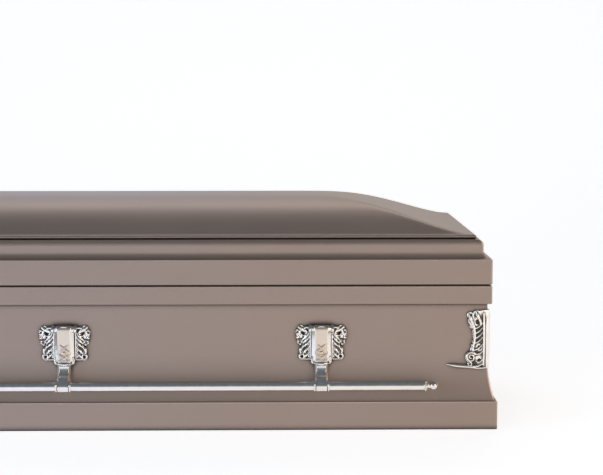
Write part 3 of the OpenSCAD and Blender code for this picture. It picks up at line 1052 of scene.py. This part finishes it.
def corner_relief():
    """Relief of one wing of a corner ornament, with u measured from the casket's corner."""
    limbs = [
        [(36, 46, 4.8, 2.6), (33.5, 60, 5.6, 2.4), (31, 78, 5.8, 2.6), (32, 96, 5.8, 3.0),
         (36, 112, 6.2, 4.0), (42, 126, 6.2, 4.0), (46.5, 138, 5.0, 1.2)],
        [(16, 109, 4.8, 2.2), (19, 121, 6.0, 3.6), (25, 133, 6.0, 3.8), (28, 144, 4.8, 1.2)],
        [(35, 105, 4.5, 2.2), (42, 112, 5.8, 3.2), (46, 121, 5.4, 2.4), (43.5, 128.5, 4.6, 1.2)],
        [(33, 123, 4.8, 1.8), (36, 132, 5.8, 2.6), (36, 141.5, 4.8, 1.2)],
        [(9.5, 140, 4.4, 2.2), (8.5, 104, 5.0, 2.8), (8.5, 50, 5.0, 2.8), (9.5, 10, 4.6, 2.4)],
        [(33, 47, 4.8, 2.2), (22, 52, 5.8, 2.8), (12.5, 62, 4.8, 1.4)],
        [(27, 37, 4.8, 2.2), (19, 39, 5.8, 2.6), (11, 46, 4.8, 1.4)],
        [(28, 21, 4.8, 2.2), (20, 17.5, 5.8, 2.8), (12, 24, 4.8, 1.4)],
        [(36, 7, 4.8, 2.4), (24, 8, 5.8, 2.8), (12, 13, 4.8, 1.6)],
        [(6, 3.5, 4.6, 2.4), (22, 2.6, 5.0, 2.6), (36, 4.5, 4.8, 2.4)],
        [(34, 5.2, 4.0, 3.4), (62, 7.8, 5.2, 4.2), (82, 9.9, 5.0, 3.8), (99, 12.6, 3.6, 1.2)],
    ]
    limbs += [[(31, v, 4.8, 2.0), (22.5, v + 5, 5.6, 2.4), (13, v + 14, 4.8, 1.2)] for v in (64, 76, 88, 100)]
    meshes = [stroke(points, 0.9) for points in limbs]
    return meshes + [
        scroll(40, 30, 12.9, 2.0, 150, -640, 3.1, 1.6, 5.4, 30),
        scroll(43, 13, 5.2, 3.0, 80, 380, 1.8, 1.3, 4.8),
        ball(38, 105.5, 5.4, 3.6),
        ball(37, 60, 5.4, 3.6),
        ball(37.5, 70, 5.0, 2.0),
        ball(36.5, 95, 5.0, 2.0),
    ]


def make_corners(scene):
    """The four corner ornaments, each wrapped round two walls."""
    hardware = scene.casket_hardware
    relief_top = 7.0

    def shift(point):
        x = point.x - WALL_X
        y = point.y + WALL_Y
        if abs(x - relief_top) < 0.05:
            x = hardware.plate
        if abs(y + relief_top) < 0.05:
            y = -hardware.plate
        return Vector((x, y, point.z - CORNER_Z))

    base = thinned_cad("front_right_corner", shift)
    to_front = Matrix(((-1, 0, 0, 0), (0, 0, -1, 0), (0, 1, 0, 0), (0, 0, 0, 1)))
    to_end = Matrix(((0, 0, 1, 0), (1, 0, 0, 0), (0, 1, 0, 0), (0, 0, 0, 1)))
    post = stroke([(0, 2.5, 0, 5.0), (0, 40, 0, 5.6), (0, 100, 0, 5.6), (0, 145, 0, 4.0)], 1.0, 20)
    meshes = [base]
    for matrix in (to_front, to_end):
        for mesh in corner_relief():
            mesh.transform(matrix)
            meshes.append(mesh)
    post.transform(to_front)
    meshes.append(post)
    mesh = cast("corner", meshes, hardware.grain * 1.1, hardware.keep)
    mark_recesses(mesh)
    for side, sy in (("front", 1), ("back", -1)):
        for end, sx in (("left", -1), ("right", 1)):
            node = f"{side}_{end}_corner"
            copy = mirrored(mesh, x=sx, y=sy)
            corner = Matrix.Translation((sx * WALL_X, -sy * WALL_Y, CORNER_Z))
            place = Matrix.Diagonal((MM, MM, MM, 1)) @ corner
            piece = placed_copy(copy, f"corner_{side}_{end}", place, material_named("hardware_silver"))
            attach(piece, "casket")
            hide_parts(node)


# ---- Bars ----

def make_bars(scene):
    """The two swing bars, each a drawn tube."""
    hardware = scene.casket_hardware
    inner = hardware.bar - hardware.bar_wall
    for side in SIDES:
        node = f"{side}_bar"
        half = high(node, 0)
        ends = [(hardware.bar - 0.5, -half), (hardware.bar, 0.5 - half), (hardware.bar, 2 - half)]
        profile = ends + [(r, -z) for r, z in reversed(ends)] + [(inner, half), (inner, -half)]
        tube = along_wall(lathe("tube", profile, 72), 0, BAR_OUT)
        piece = placed_copy(tube, f"bar_{side}", on_side(side, 0, BAR_Z), material_named("bar_silver"), 40.0)
        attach(piece, f"{side}_handle")
        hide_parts(node)


def make_tips(scene):
    """The four turned tips, each with a collar of beads."""
    hardware = scene.casket_hardware
    bar = hardware.bar
    spigot = bar - hardware.bar_wall - 0.05
    knob = 10.6
    length = 34.0
    profile = [(0, -24), (spigot - 0.6, -24), (spigot, -23), (spigot, 0), (bar + 0.6, 0), (bar + 1.6, 0.7)]
    profile += [(bar + 1.6, 2.3), (bar + 0.6, 3.0), (bar + 0.2, 4.0), (bar + 0.6, 5.0), (bar + 1.0, 6.0)]
    profile += [(bar + 0.2, 7.4), (bar - 2.6, 9.0), (bar - 4.6, 11.0), (bar - 4.8, 12.6)]
    profile += arc(0, length - knob, knob, -50, 90, 18)
    body = lathe("tip", profile, 64)
    turns = [2 * math.pi * k / 48 for k in range(48)]
    circle = [((bar + 0.9) * math.cos(t), (bar + 0.9) * math.sin(t), 4.0) for t in turns]
    beads = bead_row(circle, 26, 1.15, material_named("bar_silver"), closed=True)
    mesh = joined("tip", [body, beads])
    for side in SIDES:
        for end in ENDS:
            node = f"{side}_{end}_bar_tip"
            way = 1 if end == "right" else -1
            start = way * high(f"{side}_bar", 0)
            turn = Matrix.Rotation(math.radians(90 * way), 4, "Y")
            middle_y = (-1 if side == "front" else 1) * (WALL_Y + BAR_OUT)
            place = Matrix.Diagonal((MM, MM, MM, 1)) @ Matrix.Translation((start, middle_y, BAR_Z)) @ turn
            piece = placed_copy(mesh, f"tip_{side}_{end}", place, material_named("bar_silver"), 40.0)
            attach(piece, f"{side}_handle")
            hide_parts(node)


def finish_small_parts(scene):
    """The pins and the bottom pan keep their CAD shapes and get their finishes."""
    finishes = {"bottom_pan": "casket_paint"}
    for side in SIDES:
        for station in STATIONS:
            finishes[f"{side}_{station}_pin"] = "pin_steel"
    for node, name in finishes.items():
        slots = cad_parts[node].data.materials
        slots.clear()
        slots.append(material_named(name))


# ---- Studio ----

def aimed(item, place, aim):
    """A lamp or camera, moved to a place and turned towards a point."""
    item.location = place
    item.rotation_euler = (Vector(aim) - Vector(place)).to_track_quat("-Z", "Y").to_euler()
    return item


def soft_lamp(name, place, aim, power, width, height, tint=(1, 1, 1)):
    """A rectangular lamp at a place, turned towards a point."""
    data = bpy.data.lights.new(name, "AREA")
    data.shape = "RECTANGLE"
    data.size = width
    data.size_y = height
    data.energy = power
    data.color = tint
    return aimed(linked(name, data), place, aim)


def studio_world(studio):
    """White behind the object, and for the light a studio that is bright at eye level and dim overhead."""
    world = bpy.data.worlds.new("studio")
    world.use_nodes = True
    bpy.context.scene.world = world
    nodes, link = world.node_tree.nodes, world.node_tree.links.new
    background = nodes["Background"]
    place = nodes.new("ShaderNodeTexCoord")
    split = nodes.new("ShaderNodeSeparateXYZ")
    link(place.outputs["Generated"], split.inputs["Vector"])
    ramp = nodes.new("ShaderNodeValToRGB")
    stops = ramp.color_ramp.elements
    stops[0].position = 0.0
    stops[0].color = (0.9, 0.9, 0.9, 1)
    stops[1].position = 0.9
    stops[1].color = (0.24, 0.28, 0.335, 1)
    for position, value in ((0.08, 0.7), (0.25, 0.42), (0.45, 0.28)):
        stops.new(position).color = (value, value * 1.11, value * 1.24, 1)
    link(split.outputs["Z"], ramp.inputs["Fac"])
    lit = nodes.new("ShaderNodeVectorMath")
    lit.operation = "SCALE"
    lit.inputs["Scale"].default_value = studio.sky
    link(ramp.outputs["Color"], lit.inputs[0])
    path = nodes.new("ShaderNodeLightPath")
    pick = nodes.new("ShaderNodeMix")
    pick.data_type = "RGBA"
    link(path.outputs["Is Camera Ray"], pick.inputs["Factor"])
    link(lit.outputs["Vector"], pick.inputs["A"])
    pick.inputs["B"].default_value = (1, 1, 1, 1)
    link(pick.outputs["Result"], background.inputs["Color"])


def make_stage(scene):
    """Floor and backdrop in one sweep, soft lamps, world and camera."""
    studio = scene.casket_studio
    depth, rear, up, bend = -9.0, 5.0, 6.0, 2.5
    profile = [(depth, 0.0), (-3.0, 0.0), (0.0, 0.0), (rear - bend, 0.0)]
    profile += [(rear - bend + bend * math.sin(a), bend - bend * math.cos(a))
                for a in (math.radians(90 * k / 16) for k in range(1, 17))]
    profile.append((rear, up))
    width = 12.0
    vertices = [(x, y, z) for y, z in profile for x in (-width, width)]
    faces = [(2 * i, 2 * i + 1, 2 * i + 3, 2 * i + 2) for i in range(len(profile) - 1)]
    mesh = bpy.data.meshes.new("backdrop")
    mesh.from_pydata(vertices, [], faces)
    backdrop = new_piece("backdrop", mesh, material_named("studio_floor"), 180.0)
    target = (0.4, 0.0, 0.35)
    key = soft_lamp("front_lamp", (0.2, -4.8, 1.2), target, studio.key_power, 5.0, 1.6)
    key.visible_glossy = False
    soft_lamp("cool_lamp", (-3.4, -2.6, 1.1), target, studio.cool_power, 1.6, 1.6, (0.58, 0.8, 1.0))
    soft_lamp("warm_lamp", (3.6, -3.2, 1.6), target, studio.warm_power, 1.6, 1.6, (1.0, 0.76, 0.55))
    soft_lamp("rear_lamp", (0.3, 2.6, 3.2), target, studio.top_power, 4.0, 1.0)
    studio_world(studio)
    data = bpy.data.cameras.new("camera")
    data.sensor_width = 36.0
    data.lens = studio.lens
    scene.camera = aimed(linked("camera", data), studio.eye, studio.aim)
    scene.view_settings.view_transform = "Standard"


# ---- Add-on ----

def operator(idname, label, text, make):
    """An operator class that runs one maker on the scene."""

    def execute(self, context):
        make(context.scene)
        return {"FINISHED"}

    return type("CASKET_OT_" + idname, (bpy.types.Operator,), {
        "__doc__": text, "bl_idname": "casket." + idname, "bl_label": label,
        "bl_options": {"REGISTER", "UNDO"}, "execute": execute,
    })


OPERATORS = [
    operator("stage", "Studio", "Make the floor, lamps and camera", make_stage),
    operator("walls", "Walls", "Make the body shell", make_walls),
    operator("lid_rim", "Lid rim", "Make the lid's rim", make_lid_rim),
    operator("crown", "Crown", "Make the crown of the lid", make_crown),
    operator("lugs", "Lugs", "Make the six lugs", make_lugs),
    operator("arms", "Arms", "Make the six arms", make_arms),
    operator("bars", "Swing bars", "Make the two bars", make_bars),
    operator("tips", "Bar tips", "Make the four bar tips", make_tips),
    operator("corners", "Corner ornaments", "Make the four corner ornaments", make_corners),
    operator("small_parts", "Pins and pan", "Finish the pins and the bottom pan", finish_small_parts),
]

SETTINGS = {
    "casket_sheet": CasketSheet,
    "casket_crown": CasketCrown,
    "casket_hardware": CasketHardware,
    "casket_finish": CasketFinish,
    "casket_studio": CasketStudio,
}


class CASKET_PT_panel(bpy.types.Panel):
    """Sidebar panel with the sizes, colours and steps."""
    bl_label = "Casket"
    bl_idname = "CASKET_PT_panel"
    bl_space_type = "VIEW_3D"
    bl_region_type = "UI"
    bl_category = "Casket"

    def draw(self, context):
        for name, group in SETTINGS.items():
            box = self.layout.box()
            box.label(text=group.__doc__)
            for key in group.__annotations__:
                box.prop(getattr(context.scene, name), key)
        for item in OPERATORS:
            self.layout.operator(item.bl_idname)


def register():
    for name, group in SETTINGS.items():
        bpy.utils.register_class(group)
        setattr(bpy.types.Scene, name, PointerProperty(type=group))
    for item in OPERATORS:
        bpy.utils.register_class(item)
    bpy.utils.register_class(CASKET_PT_panel)


def unregister():
    bpy.utils.unregister_class(CASKET_PT_panel)
    for item in reversed(OPERATORS):
        bpy.utils.unregister_class(item)
    for name, group in SETTINGS.items():
        delattr(bpy.types.Scene, name)
        bpy.utils.unregister_class(group)


def main():
    """Makes everything in order and writes the CAD and visual boxes."""
    register()
    for item in OPERATORS:
        step = getattr(bpy.ops.casket, item.bl_idname.split(".")[1])
        step()


if __name__ == "__main__":
    main()
